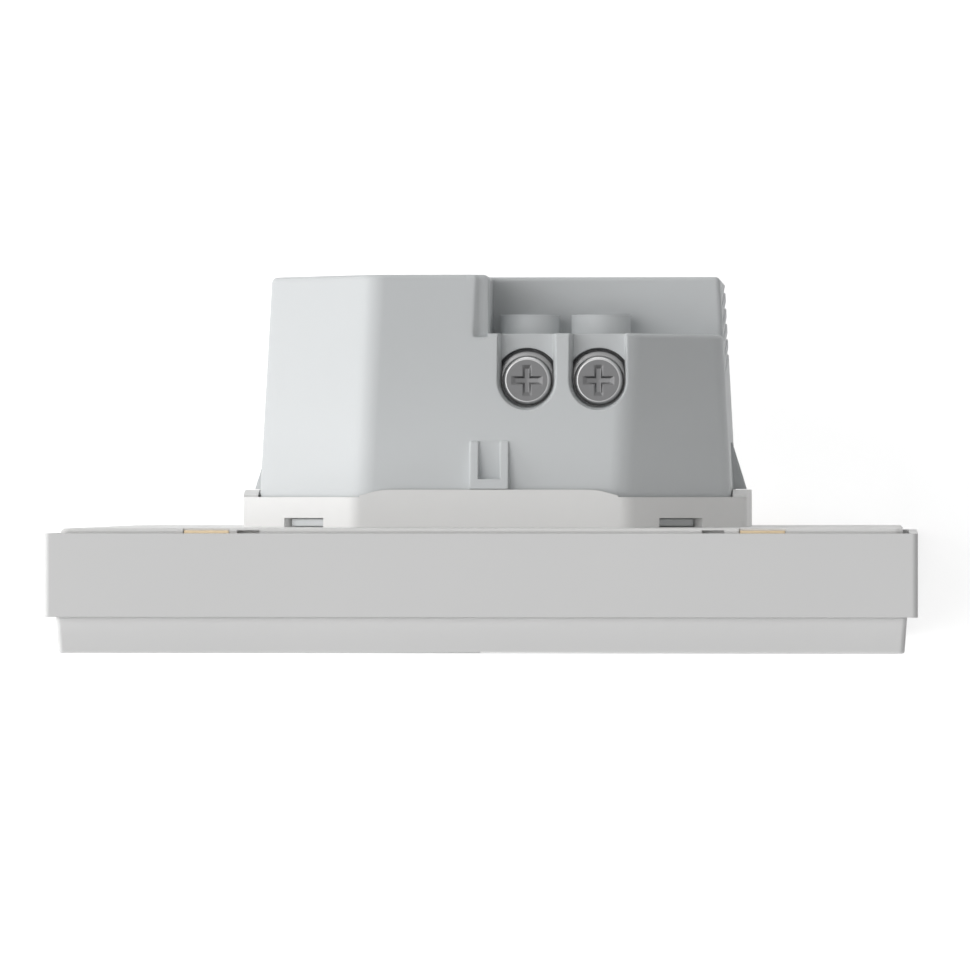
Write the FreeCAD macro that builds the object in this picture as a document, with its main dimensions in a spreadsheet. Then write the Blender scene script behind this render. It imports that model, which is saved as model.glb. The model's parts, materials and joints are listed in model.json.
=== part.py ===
import FreeCAD, Part
import math
import os

import Sketcher

# Flush-mounted smart light switch with one broad rocker key.
# Frame: the origin is the middle of the wall plane, +X right, +Z up, +Y into the wall.
# The key faces -Y. All lengths are millimetres, all angles degrees.

doc = FreeCAD.newDocument("light_switch")
sheet = doc.addObject("Spreadsheet::Sheet", "sizes")

SIZES = {
    # outer frame round the key
    "frame_wide": 86,
    "frame_front": 8.72,
    "frame_reveal": 0.48,
    "frame_wall": 0.85,
    "frame_edge": 0.55,
    "flange_front": 5.2,
    "flange_thick": 1.2,
    # rocker key
    "key_gap": 0.2,
    "key_front": 12.3,
    "key_taper": 4.3,
    "key_plate": 1.8,
    "key_wall": 1.2,
    "key_skirt": 6.2,
    "key_edge": 0.3,
    "key_corner": 0.5,
    "key_rib": 1.0,
    "key_rib_tall": 1.1,
    "key_rib_pitch": 16,
    # pivot of the key
    "pivot_in": 2.6,
    "pivot_deep": 8.5,
    "pivot_radius": 1.0,
    "pivot_fit": 0.05,
    "ear_place": 27.1,
    "ear_thick": 1.4,
    "ear_wide": 3.0,
    "lug_thick": 1.6,
    "lug_wall": 0.9,
    "slot_fit": 0.3,
    # hooks that stop the key from lifting
    "hook_place": 22,
    "hook_wide": 4,
    "hook_in": 3.2,
    "hook_thick": 1.2,
    "hook_catch": 1.1,
    "hook_play": 0.1,
    # plunger and tact switch
    "press_down": 14,
    "press_gap": 0.05,
    "press_travel": 0.5,
    "boss_radius": 1.5,
    "plunger_front": 8.85,
    "plunger_radius": 2.5,
    "plunger_fit": 0.05,
    "plunger_flange": 3.4,
    "plunger_rim": 0.75,
    "guide_wall": 1.0,
    "tact_wide": 6.0,
    "tact_tall": 3.3,
    "stem_radius": 1.7,
    "stem_tall": 0.7,
    "stem_root": 1.0,
    # front cover under the key
    "cover_gap": 2.55,
    "cover_front": 7.6,
    "cover_plate": 1.6,
    "cover_wall": 1.2,
    "access_radius": 4.0,
    # screws that hold the cover
    "screw_in": 2.4,
    "screw_below": 5.4,
    "screw_radius": 1.4,
    "screw_fit": 0.05,
    "screw_head": 2.0,
    "screw_head_tall": 1.3,
    "screw_boss": 0.75,
    "screw_tip": 0.4,
    # mounting base
    "base_gap": 0.65,
    "base_plate": 2.0,
    "base_rim": 4.0,
    "base_rim_wall": 1.2,
    "base_corner": 0.8,
    "base_bevel": 0.25,
    "notch_place": 22.9,
    "notch_wide": 2.2,
    "notch_deep": 1.0,
    "notch_skin": 0.2,
    "notch_tall": 1.8,
    "fixing_pitch": 60,
    "fixing_radius": 1.75,
    "collar_tall": 3.84,
    "collar_dip": 0.75,
    "collar_wall": 1.5,
    "collar_round": 2.0,
    "collar_fit": 0.15,
    "wave_start": 10.9,
    "wave_end": 13.5,
    "wave_round": 6.5,
    "window_wide": 6.0,
    "window_low": 0.05,
    "window_tall": 0.9,
    "window_shift": 1.0,
    "window_fit": 0.3,
    "window_play": 0.08,
    # springs that hold the frame
    "spring_left": 27.05,
    "spring_right": 27.75,
    "spring_wide": 4.4,
    "spring_thick": 0.3,
    "spring_fit": 0.1,
    "spring_start": 0.2,
    "spring_end": 3.8,
    "spring_crown": 0.55,
    # rear housing
    "house_half": 24.05,
    "house_flat": 13.0,
    "bay_flat": 13.4,
    "house_deep": 25.5,
    "house_draft": 3.0,
    "corner_draft": 4.1,
    "house_wall": 1.5,
    "house_round": 3.0,
    "house_edge": 0.5,
    "lip_wide": 1.8,
    "lip_thick": 1.2,
    "bay_left": 0.2,
    "bay_floor": 19.56,
    "bay_tall": 11.65,
    "bay_edge": 0.5,
    "rail_wide": 0.85,
    "rail_flank": 0.6,
    "rail_deep": 0.35,
    "rail_fall": 0.3,
    "rail_edge": 0.35,
    "grip_start": 15.6,
    "grip_pitch": 1.62,
    "grip_wide": 0.8,
    "grip_deep": 0.3,
    "grip_rise": 2.4,
    "grip_reach": 9.5,
    "grip_back": 12.0,
    "tower_front": 11.0,
    "snap_wide": 3.85,
    "snap_deep": 4.8,
    "snap_out": 1.35,
    "snap_rest": 0.05,
    "snap_rib": 0.82,
    "snap_foot": 1.0,
    "snap_sink": 0.3,
    # terminals
    "terminal_one": 3.7,
    "terminal_pitch": 7.22,
    "terminal_deep": 14.83,
    "block_wide": 6.0,
    "block_long": 6.4,
    "block_tall": 6.05,
    "block_fit": 0.05,
    "wire_rise": 2.95,
    "wire_half": 2.0,
    "wire_sill": 1.15,
    "wire_tall": 3.4,
    "entry_radius": 2.2,
    "entry_rim": 3.0,
    "entry_tall": 2.0,
    "leg_wide": 2.0,
    "leg_thick": 0.8,
    "leg_past": 1.2,
    "head_radius": 2.5,
    "head_sink": 1.5,
    "head_tall": 1.5,
    "head_chamfer": 0.42,
    "head_washer": 3.0,
    "washer_thick": 0.5,
    "cross_long": 3.2,
    "cross_wide": 0.75,
    "cross_deep": 0.9,
    "shank_radius": 1.7,
    "tip_radius": 0.8,
    "saddle_thick": 0.8,
    "saddle_long": 5.4,
    "pocket_half": 2.6,
    "pocket_rim": 3.3,
    "pocket_draft": 10.0,
    # boards and what they carry
    "board_thick": 1.2,
    "board_front": 1.0,
    "board_fit": 0.3,
    "power_thick": 1.6,
    "stack_in": 6.4,
    "stack_radius": 1.0,
    "stack_head": 1.8,
    "stack_head_tall": 1.2,
    "stack_bite": 5.0,
    "spacer_flat": 1.7,
    "post_flat": 1.9,
    "header_in": 2.8,
    "header_pitch": 2.54,
    "header_pin": 0.32,
    "header_block": 1.25,
    "led_down": 20.2,
    "led_wide": 1.6,
    "led_high": 0.8,
    "led_tall": 0.6,
    "pipe_radius": 1.0,
    "pipe_fit": 0.02,
    "pipe_flange": 1.8,
    "pipe_flange_thick": 0.8,
    "pipe_clear": 1.0,
    "pipe_hole": 1.9,
    "radio_up": 8.5,
    "radio_wide": 18,
    "radio_high": 14,
    "radio_thick": 0.8,
    "shield_wide": 14.5,
    "shield_high": 10.5,
    "shield_tall": 1.9,
    "shield_wall": 0.3,
    # what stands on the back of the power board
    "relay_wide": 19.0,
    "relay_high": 10.0,
    "relay_tall": 12.0,
    "relay_in": 7.6,
    "relay_edge": 0.5,
    "coil_across": 9.0,
    "coil_down": 1.0,
    "coil_wide": 13.0,
    "coil_high": 11.0,
    "coil_base": 1.5,
    "coil_tall": 11.0,
    "core_high": 5.5,
    "winding_wide": 8.5,
    "winding_gap": 1.5,
    "bulk_left": 6.5,
    "bulk_up": 2.0,
    "bulk_radius": 4.0,
    "bulk_tall": 12.0,
    "filter_in": 6.4,
    "filter_wide": 6.0,
    "filter_high": 13.0,
    "filter_tall": 11.0,
    "disc_left": 8.5,
    "disc_in": 10.4,
    "disc_radius": 4.0,
    "disc_thick": 3.6,
    "fuse_left": 5.0,
    "fuse_in": 4.4,
    "fuse_radius": 1.8,
    "fuse_tall": 9.0,
    "bridge_across": 8.0,
    "bridge_up": 6.0,
    "bridge_wide": 6.5,
    "bridge_high": 5.0,
    "bridge_tall": 2.4,
}

for row, (alias, number) in enumerate(SIZES.items(), start=1):
    sheet.set("A%d" % row, alias)
    sheet.set("B%d" % row, str(number))
    sheet.setAlias("B%d" % row, alias)
doc.recompute()


class Size:
    """A length or angle that knows the sheet expression that drives it."""

    def __init__(self, text, value):
        self.text = text
        self.value = value

    def __add__(self, other):
        other = as_size(other)
        return Size("(%s + %s)" % (self.text, other.text), self.value + other.value)

    def __sub__(self, other):
        other = as_size(other)
        return Size("(%s - %s)" % (self.text, other.text), self.value - other.value)

    def __mul__(self, other):
        other = as_size(other)
        return Size("(%s * %s)" % (self.text, other.text), self.value * other.value)

    def __truediv__(self, other):
        other = as_size(other)
        return Size("(%s / %s)" % (self.text, other.text), self.value / other.value)

    def __neg__(self):
        return Size("(-1 * %s)" % self.text, -self.value)

    __radd__ = __add__
    __rmul__ = __mul__

    def __rsub__(self, other):
        return as_size(other) - self


def as_size(number):
    """Wrap a bare number so that it can stand in a sheet expression."""
    if isinstance(number, Size):
        return number
    return Size("(%r)" % float(number), float(number))


def cell(alias):
    """The size kept in one cell of the sheet."""
    return Size("sizes." + alias, float(getattr(sheet, alias)))


def tangent(angle):
    """Tangent of an angle in degrees."""
    return Size("tan(%s * 1 deg)" % angle.text, math.tan(math.radians(angle.value)))


def bind(thing, name, value):
    """Set a property, or drive it from the sheet."""
    value = as_size(value)
    if "." not in name:
        setattr(thing, name, value.value)
    thing.setExpression(name, value.text)


EIGHTH = tangent(as_size(22.5))
HALF_ROOT = as_size(math.sqrt(0.5))
HALF_SIXTY = as_size(math.cos(math.radians(30)))

AXIS_Y = FreeCAD.Vector(0, 1, 0)
AXIS_Z = FreeCAD.Vector(0, 0, 1)
SIDES = (-1, 1)

# Planes are named for the axis that they face.
# Y draws X across and Z up, Z draws X across and Y up, X draws Y across and Z up.
PLANE_ROLE = {"X": "YZ_Plane", "Y": "XZ_Plane", "Z": "XY_Plane"}


class Piece:
    """A body that is built from pads and pockets between two levels of an axis."""

    def __init__(self, label):
        self.body = doc.addObject("PartDesign::Body", label)
        self.body.Label = label
        if hasattr(self.body, "AllowCompound"):
            self.body.AllowCompound = True

    def sketch(self, axis, level, loops):
        """A sketch at a level of an axis, holding the given loops."""
        made = self.body.newObject("Sketcher::SketchObject", self.body.Label + "_outline")
        role = PLANE_ROLE[axis]
        plane = [item for item in self.body.Origin.OriginFeatures if item.Role == role][0]
        made.AttachmentSupport = [(plane, "")]
        made.MapMode = "FlatFace"
        away = -as_size(level) if axis == "Y" else as_size(level)
        made.setExpression("AttachmentOffset.Base.z", away.text)
        for loop in loops:
            loop(made)
        made.Visibility = False
        return made

    def add(self, axis, low, high, *loops):
        """Pad the loops from the low level to the high one."""
        level = high if axis == "Y" else low
        pad = self.body.newObject("PartDesign::Pad", self.body.Label + "_pad")
        pad.Profile = self.sketch(axis, level, loops)
        bind(pad, "Length", as_size(high) - low)
        return self.done(pad)

    def cut(self, axis, low, high, *loops):
        """Pocket the loops from the low level to the high one."""
        level = low if axis == "Y" else high
        pocket = self.body.newObject("PartDesign::Pocket", self.body.Label + "_pocket")
        pocket.Profile = self.sketch(axis, level, loops)
        bind(pocket, "Length", as_size(high) - low)
        return self.done(pocket)

    def taper_add(self, level, reach, angle, *loops):
        """Pad along Y from a level, drawn in by the angle. A negative reach goes to the front."""
        pad = self.body.newObject("PartDesign::Pad", self.body.Label + "_taper")
        pad.Profile = self.sketch("Y", level, loops)
        reach = as_size(reach)
        pad.Reversed = reach.value > 0
        bind(pad, "Length", reach if reach.value > 0 else -reach)
        bind(pad, "TaperAngle", -as_size(angle))
        return self.done(pad)

    def taper_cut(self, level, reach, angle, *loops):
        """Pocket along +Y from a level, drawn in by the angle."""
        pocket = self.body.newObject("PartDesign::Pocket", self.body.Label + "_hollow")
        pocket.Profile = self.sketch("Y", level, loops)
        bind(pocket, "Length", reach)
        bind(pocket, "TaperAngle", -as_size(angle))
        return self.done(pocket)

    def flare_cut(self, low, high, angle, *loops):
        """Pocket along +Z from the low level to the high one, widened by the angle."""
        pocket = self.body.newObject("PartDesign::Pocket", self.body.Label + "_flare")
        pocket.Profile = self.sketch("Z", low, loops)
        pocket.Reversed = True
        bind(pocket, "Length", as_size(high) - low)
        bind(pocket, "TaperAngle", angle)
        return self.done(pocket)

    def loft(self, low, low_loop, high, high_loop):
        """Join a loop at the low level of Y to a loop at the high one by flat sides."""
        start = self.sketch("Y", low, [low_loop])
        end = self.sketch("Y", high, [high_loop])
        made = self.body.newObject("PartDesign::AdditiveLoft", self.body.Label + "_loft")
        made.Profile = start
        made.Sections = [end]
        made.Ruled = True
        return self.done(made)

    def round(self, radius, pick):
        """Fillet the edges that pick accepts."""
        return self.dress("PartDesign::Fillet", "Radius", radius, pick)

    def bevel(self, size, pick):
        """Chamfer the edges that pick accepts."""
        return self.dress("PartDesign::Chamfer", "Size", size, pick)

    def dress(self, kind, property_name, size, pick):
        doc.recompute()
        base = self.body.Tip
        names = []
        for number, edge in enumerate(base.Shape.Edges, start=1):
            if pick(edge):
                names.append("Edge%d" % number)
        if not names:
            raise ValueError("no edge to dress on " + self.body.Label)
        made = self.body.newObject(kind, self.body.Label + "_edges")
        made.Base = (base, names)
        bind(made, property_name, size)
        return self.done(made)

    def done(self, feature):
        self.body.Tip = feature
        return feature


def polygon(*points):
    """A closed loop of straight sides through the points."""

    def draw(sketch):
        places = [(as_size(across), as_size(up)) for across, up in points]
        first = sketch.GeometryCount
        count = len(places)
        for number in range(count):
            start = places[number]
            end = places[(number + 1) % count]
            sketch.addGeometry(
                Part.LineSegment(
                    FreeCAD.Vector(start[0].value, start[1].value, 0),
                    FreeCAD.Vector(end[0].value, end[1].value, 0),
                ),
                False,
            )
        for number in range(count):
            following = first + (number + 1) % count
            sketch.addConstraint(Sketcher.Constraint("Coincident", first + number, 2, following, 1))
        for number, (across, up) in enumerate(places):
            pin_point(sketch, first + number, 1, across, up)

    return draw


def pin_point(sketch, item, end, across, up):
    """Hold a point of the sketch at its place from the origin."""
    for kind, distance in (("DistanceX", across), ("DistanceY", up)):
        made = sketch.addConstraint(Sketcher.Constraint(kind, -1, 1, item, end, distance.value))
        sketch.setExpression("Constraints[%d]" % made, distance.text)


def circle(across, up, radius):
    """A circle about a point."""

    def draw(sketch):
        place = (as_size(across), as_size(up))
        size = as_size(radius)
        centre = FreeCAD.Vector(place[0].value, place[1].value, 0)
        item = sketch.addGeometry(Part.Circle(centre, FreeCAD.Vector(0, 0, 1), size.value), False)
        made = sketch.addConstraint(Sketcher.Constraint("Radius", item, size.value))
        sketch.setExpression("Constraints[%d]" % made, size.text)
        pin_point(sketch, item, 3, *place)

    return draw


def hexagon(across, up, flat):
    """Six sides about a point, each at the distance flat from it."""
    corner = flat / HALF_SIXTY
    places = (
        (corner, as_size(0)), (corner / 2, flat), (-corner / 2, flat),
        (-corner, as_size(0)), (-corner / 2, -flat), (corner / 2, -flat),
    )
    return polygon(*[(across + away, up + rise) for away, rise in places])


def u_shape(across, up, radius, top):
    """A loop with a half circle below its centre and straight sides up to the top."""

    def draw(sketch):
        middle = as_size(across)
        centre = as_size(up)
        size = as_size(radius)
        left = FreeCAD.Vector((middle - size).value, centre.value, 0)
        right = FreeCAD.Vector((middle + size).value, centre.value, 0)
        left_top = FreeCAD.Vector(left.x, top.value, 0)
        right_top = FreeCAD.Vector(right.x, top.value, 0)
        ring = Part.Circle(FreeCAD.Vector(middle.value, centre.value, 0), AXIS_Z, size.value)
        arc = sketch.addGeometry(Part.ArcOfCircle(ring, math.pi, 2 * math.pi), False)
        right_side = sketch.addGeometry(Part.LineSegment(right, right_top), False)
        top_side = sketch.addGeometry(Part.LineSegment(right_top, left_top), False)
        left_side = sketch.addGeometry(Part.LineSegment(left_top, left), False)
        for first, second in ((arc, right_side), (right_side, top_side), (top_side, left_side)):
            sketch.addConstraint(Sketcher.Constraint("Coincident", first, 2, second, 1))
        sketch.addConstraint(Sketcher.Constraint("Coincident", left_side, 2, arc, 1))
        pin_point(sketch, arc, 1, middle - size, centre)
        pin_point(sketch, arc, 2, middle + size, centre)
        made = sketch.addConstraint(Sketcher.Constraint("DistanceY", -1, 1, arc, 3, centre.value))
        sketch.setExpression("Constraints[%d]" % made, centre.text)
        pin_point(sketch, right_side, 2, middle + size, top)
        pin_point(sketch, top_side, 2, middle - size, top)

    return draw


def box(low_across, high_across, low_up, high_up):
    """A rectangle between two corners."""
    return polygon(
        (low_across, low_up), (high_across, low_up), (high_across, high_up), (low_across, high_up)
    )


def square(half):
    """A square about the origin."""
    return box(-half, half, -half, half)


def square_at(across, up, half):
    """A square about a point."""
    return box(across - half, across + half, up - half, up + half)


def octagon(half, flat, bay):
    """Eight sides about the origin: flats at half that end at flat, or at bay beside the bay."""
    return polygon(
        (half, -flat), (half, bay), (bay, half), (-flat, half),
        (-half, flat), (-half, -flat), (-flat, -half), (flat, -half),
    )


def flat_at(half):
    """The flat's half width of the housing's octagon when it is grown or shrunk to half."""
    return cell("house_flat") + (half - cell("house_half")) * EIGHTH


def eight(half):
    """The housing's octagon grown or shrunk to half."""
    flat = flat_at(half)
    return octagon(half, flat, flat + cell("bay_flat") - cell("house_flat"))


def diagonal(side_x, side_z, near, far, half_wide):
    """A rectangle over a slanted side, between two distances from the origin."""
    low = cell("window_shift") - half_wide
    high = cell("window_shift") + half_wide
    points = []
    for away, along in ((near, low), (far, low), (far, high), (near, high)):
        across = (away - along) * HALF_ROOT * side_x
        up = (away + along) * HALF_ROOT * side_z
        points.append((across, up))
    return polygon(*points)


def along(edge, axis):
    """Whether an edge is a straight run close to an axis."""
    run = edge.Vertexes[-1].Point - edge.Vertexes[0].Point
    straight = run.Length > edge.Length * 0.9999
    return straight and abs(run.normalize().dot(axis)) > 0.99


# Levels along Y and other places that several pieces share.
key_back = -cell("key_front") + cell("key_plate")
cover_back = -cell("cover_front") + cell("cover_plate")
frame_inner = cell("frame_wide") / 2 - cell("frame_wall")
cover_half = frame_inner - cell("cover_gap")
base_half = frame_inner - cell("base_gap")
key_half = frame_inner - cell("key_gap")
base_front = -cell("base_plate")
pivot_y = -cell("pivot_deep")
pivot_z = cover_half - cell("pivot_in")
lug_start = cell("ear_place") + cell("ear_thick") / 2 + cell("slot_fit")
lug_end = lug_start + cell("lug_thick")
press_z = -cell("press_down")
hook_z = cell("hook_in") - cover_half
hook_catch_y = cover_back + cell("hook_play")
collar_inner = cell("house_half") + cell("collar_fit")
collar_outer = collar_inner + cell("collar_wall")
snap_start = cell("collar_tall") + cell("snap_rest")
bay_x = -cell("bay_left")
tower_x = bay_x - cell("house_wall")
bay_z = cell("house_half") - cell("bay_tall")
tower_z = bay_z - cell("house_wall")
bay_y = cell("bay_floor")
back_wall = cell("house_deep") - cell("house_wall")
board_y = -cell("board_front")
board_back = board_y + cell("board_thick")
power_back = cell("tower_front")
power_front = power_back - cell("power_thick")
board_half = cell("house_half") - cell("house_wall") - cell("board_fit")
draft_slope = tangent(cell("house_draft"))
power_half = board_half - (power_back - snap_start) * draft_slope
block_start = cell("terminal_deep") - cell("block_long") / 2
block_end = cell("terminal_deep") + cell("block_long") / 2
block_low = bay_z + cell("block_fit")
block_high = block_low + cell("block_tall")
wire_z = block_low + cell("wire_rise")
wire_low = block_low + cell("wire_sill")
wire_high = wire_low + cell("wire_tall")
head_high = cell("house_half") - cell("head_sink")
head_low = head_high - cell("head_tall")
washer_low = head_low - cell("washer_thick")
pocket_floor = head_low + cell("slot_fit")
saddle_high = wire_high - cell("slot_fit") / 3
saddle_low = saddle_high - cell("saddle_thick")
TERMINALS = {
    "line": cell("terminal_one"),
    "load": cell("terminal_one") + cell("terminal_pitch"),
}
stack_side = board_half - cell("stack_in")
header_x = cell("header_in") - board_half
CORNERS = [(side_x, side_z) for side_x in SIDES for side_z in SIDES]
STACK_CORNERS = ((-1, 1), (1, -1))


def at_stack(radius):
    """Circles at the two screws that hold the boards."""
    return [circle(stack_side * across, stack_side * up, radius) for across, up in STACK_CORNERS]


def at_cover_screws(radius, shape=circle):
    """Loops at the two screws that hold the front cover's lower corners."""
    across = cover_half - cell("screw_in")
    up = pivot_z - cell("screw_below")
    return [shape(across * side, -up, radius) for side in SIDES]


def at_header_pins(half):
    """Squares at the six pins between the boards."""
    places = [cell("header_pitch") * (step - 2.5) for step in range(6)]
    return [centred(header_x, place, half * 2, half * 2) for place in places]


def build_bezel_frame():
    """The outer frame: a thin wall with an inner flange that sits on the base's rim."""
    piece = Piece("bezel_frame")
    piece.add("Y", -cell("frame_front"), -cell("frame_reveal"), square(cell("frame_wide") / 2))
    piece.round(cell("frame_edge"), lambda edge: along(edge, AXIS_Y))
    piece.cut("Y", -cell("frame_front"), -cell("frame_reveal"), square(frame_inner))
    flange_y = -cell("flange_front")
    opening = cover_half + cell("slot_fit")
    piece.add(
        "Y", flange_y, flange_y + cell("flange_thick"),
        square(frame_inner + cell("frame_wall") / 2), square(opening),
    )


def build_rocker_key():
    """The key: a drafted plate with a skirt, ribs, pivot ears, hooks and the press boss."""
    piece = Piece("rocker_key")
    skirt_y = -cell("key_skirt")
    step_y = -cell("frame_front")
    piece.add("Y", step_y, skirt_y, square(key_half))
    piece.taper_add(step_y, -(cell("key_front") - cell("frame_front")), cell("key_taper"),
                    square(key_half))
    front = -cell("key_front").value
    piece.round(cell("key_corner"), lambda edge: along(edge, AXIS_Y))
    piece.round(cell("key_edge"), lambda edge: on_level(edge, front))
    piece.cut("Y", key_back, skirt_y, square(key_half - cell("key_wall")))
    rib_half = cell("key_rib") / 2
    reach = key_half - cell("key_wall") / 2
    rib_y = key_back + cell("key_rib_tall")
    for step in (-1.5, -0.5, 0.5, 1.5):
        place = cell("key_rib_pitch") * step
        piece.add("Y", key_back, rib_y, box(place - rib_half, place + rib_half, -reach, reach))
    for step in (-1.5, -0.5, 0.5):
        place = cell("key_rib_pitch") * step
        piece.add("Y", key_back, rib_y, box(-reach, reach, place - rib_half, place + rib_half))
    for side in SIDES:
        build_ear(piece, side)
        build_hook(piece, side)
    press_y = -cell("plunger_front") - cell("press_gap")
    piece.add("Y", key_back, press_y, circle(0, press_z, cell("boss_radius")))
    pipe_hole = cell("pipe_radius") + cell("pipe_fit")
    led_z = -cell("led_down")
    piece.cut("Y", -cell("key_front"), key_back, circle(0, led_z, pipe_hole))


def build_ear(piece, side):
    """One pivot ear of the key with its stub pin, which points away from the middle."""
    ear_low = cell("ear_place") - cell("ear_thick") / 2
    ear_high = cell("ear_place") + cell("ear_thick") / 2
    pin_end = lug_end - cell("slot_fit") / 3
    half = cell("ear_wide") / 2
    x_low, x_high = ordered(ear_low * side, ear_high * side)
    ear_end = pivot_y + cell("pivot_radius")
    piece.add("X", x_low, x_high, box(key_back, ear_end, pivot_z - half, pivot_z + half))
    x_low, x_high = ordered(ear_low * side, pin_end * side)
    piece.add("X", x_low, x_high, circle(pivot_y, pivot_z, cell("pivot_radius")))


def build_hook(piece, side):
    """One hook of the key, which reaches through the cover and catches behind it."""
    half = cell("hook_wide") / 2
    low = cell("hook_place") * side - half
    high = cell("hook_place") * side + half
    thick = cell("hook_thick") / 2
    barb_y = hook_catch_y + 1
    piece.add(
        "X", low, high,
        polygon(
            (key_back, hook_z - thick), (barb_y, hook_z - thick),
            (barb_y, hook_z + thick + cell("hook_catch") / 3),
            (hook_catch_y, hook_z + thick + cell("hook_catch")),
            (hook_catch_y, hook_z + thick), (key_back, hook_z + thick),
        ),
    )


def ordered(first, second):
    """Two sizes, the smaller first."""
    return (first, second) if first.value < second.value else (second, first)


def on_level(edge, level):
    """Whether an edge lies wholly at a level of Y."""
    bounds = edge.BoundBox
    return abs(bounds.YMin - level) < 0.01 and abs(bounds.YMax - level) < 0.01


def build_light_pipe():
    """The clear rod that brings the status light to the face of the key."""
    piece = Piece("light_pipe")
    led_z = -cell("led_down")
    end = board_y - cell("led_tall") - cell("pipe_clear")
    piece.add("Y", -cell("key_front"), end, circle(0, led_z, cell("pipe_radius")))
    piece.add(
        "Y", key_back, key_back + cell("pipe_flange_thick"), circle(0, led_z, cell("pipe_flange"))
    )


def build_front_cover():
    """The tray under the key: pivot lugs, hook slots, plunger guide, screw bosses."""
    piece = Piece("front_cover")
    front = -cell("cover_front")
    piece.add("Y", front, base_front, square(cover_half))
    piece.round(cell("base_corner"), lambda edge: along(edge, AXIS_Y))
    piece.cut("Y", cover_back, base_front, square(cover_half - cell("cover_wall")))
    boss = cell("screw_radius") + cell("screw_fit") + cell("screw_boss")
    piece.add("Y", cover_back, base_front, *at_cover_screws(boss, square_at))
    head_y = front + cell("screw_head_tall")
    piece.cut("Y", front, head_y, *at_cover_screws(cell("screw_head") + cell("slot_fit") / 2))
    piece.cut("Y", head_y, base_front, *at_cover_screws(cell("screw_radius") + cell("screw_fit")))
    bore = cell("plunger_radius") + cell("plunger_fit")
    guide = bore + cell("guide_wall")
    guide_y = front - cell("guide_wall") / 2
    piece.add("Y", guide_y, cover_back, circle(0, press_z, guide))
    piece.cut("Y", guide_y, cover_back, circle(0, press_z, bore))
    piece.cut("Y", front, cover_back, circle(0, -cell("led_down"), cell("pipe_hole")))
    for side in SIDES:
        lug_half = cell("pivot_radius") + cell("pivot_fit") + cell("lug_wall")
        low, high = ordered(lug_start * side, lug_end * side)
        piece.add(
            "X", low, high,
            box(pivot_y - lug_half, cover_back, pivot_z - lug_half, pivot_z + lug_half),
        )
        piece.cut("X", low, high, circle(pivot_y, pivot_z, cell("pivot_radius") + cell("pivot_fit")))
        ear_half = cell("ear_thick") / 2 + cell("slot_fit")
        ear_x = cell("ear_place") * side
        up_half = cell("ear_wide") / 2 + cell("slot_fit")
        piece.cut(
            "Y", front, cover_back,
            box(ear_x - ear_half, ear_x + ear_half, pivot_z - up_half, pivot_z + up_half),
        )
        hook_x = cell("hook_place") * side
        hook_half = cell("hook_wide") / 2 + cell("slot_fit")
        thick = cell("hook_thick") / 2 + cell("slot_fit")
        piece.cut(
            "Y", front, cover_back,
            box(hook_x - hook_half, hook_x + hook_half, hook_z - thick, hook_z + thick),
        )
        piece.cut(
            "Y", front, cover_back, circle(cell("fixing_pitch") / 2 * side, 0, cell("access_radius"))
        )


def build_cover_screws():
    """Two screws from the front through the cover into the base."""
    piece = Piece("cover_screws")
    front = -cell("cover_front")
    head_y = front + cell("screw_head_tall")
    piece.add("Y", front, head_y, *at_cover_screws(cell("screw_head")))
    piece.add("Y", head_y, -cell("screw_tip"), *at_cover_screws(cell("screw_radius")))


def build_key_plunger():
    """The button between the key and the tact switch."""
    piece = Piece("key_plunger")
    end = board_y - cell("tact_tall") - cell("stem_tall") - cell("plunger_fit") / 2
    piece.add("Y", -cell("plunger_front"), end, circle(0, press_z, cell("plunger_radius")))
    rim_y = cover_back + cell("plunger_fit")
    piece.add("Y", rim_y, rim_y + cell("plunger_rim"), circle(0, press_z, cell("plunger_flange")))


def build_tact_switch():
    """The tact switch's case, with the bore for its stem."""
    piece = Piece("tact_switch")
    half = cell("tact_wide") / 2
    front = board_y - cell("tact_tall")
    piece.add("Y", front, board_y, box(-half, half, press_z - half, press_z + half))
    bore = cell("stem_radius") + cell("plunger_fit")
    depth = cell("stem_root") + cell("press_travel") + cell("slot_fit")
    piece.cut("Y", front, front + depth, circle(0, press_z, bore))


def build_tact_stem():
    """The tact switch's moving stem."""
    piece = Piece("tact_stem")
    front = board_y - cell("tact_tall")
    piece.add(
        "Y", front - cell("stem_tall"), front + cell("stem_root"),
        circle(0, press_z, cell("stem_radius")),
    )


def build_control_board():
    """The board behind the cover, which carries the tact switch, light and radio."""
    piece = Piece("control_board")
    piece.add("Y", board_y, board_back, eight(board_half))
    piece.cut("Y", board_y, board_back, *at_stack(cell("stack_radius") + cell("screw_fit")))
    piece.cut("Y", board_y, board_back, *at_header_pins(cell("header_pin") + cell("screw_fit")))


def build_status_led():
    """The small status light on the control board."""
    piece = Piece("status_led")
    wide = cell("led_wide") / 2
    high = cell("led_high") / 2
    led_z = -cell("led_down")
    piece.add("Y", board_y - cell("led_tall"), board_y, box(-wide, wide, led_z - high, led_z + high))


def build_radio():
    """The radio module and its pressed can."""
    board = Piece("radio_module")
    wide = cell("radio_wide") / 2
    high = cell("radio_high") / 2
    middle = cell("radio_up")
    front = board_y - cell("radio_thick")
    board.add("Y", front, board_y, box(-wide, wide, middle - high, middle + high))
    can = Piece("radio_shield")
    can_wide = cell("shield_wide") / 2
    can_high = cell("shield_high") / 2
    can_low = middle - high + cell("shield_wall")
    can_top = can_low + can_high * 2
    wall = cell("shield_wall")
    can_front = front - cell("shield_tall")
    can.add("Y", can_front, front, box(-can_wide, can_wide, can_low, can_top))
    can.cut("Y", can_front + wall, front, box(wall - can_wide, can_wide - wall, can_low + wall,
                                              can_top - wall))


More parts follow.
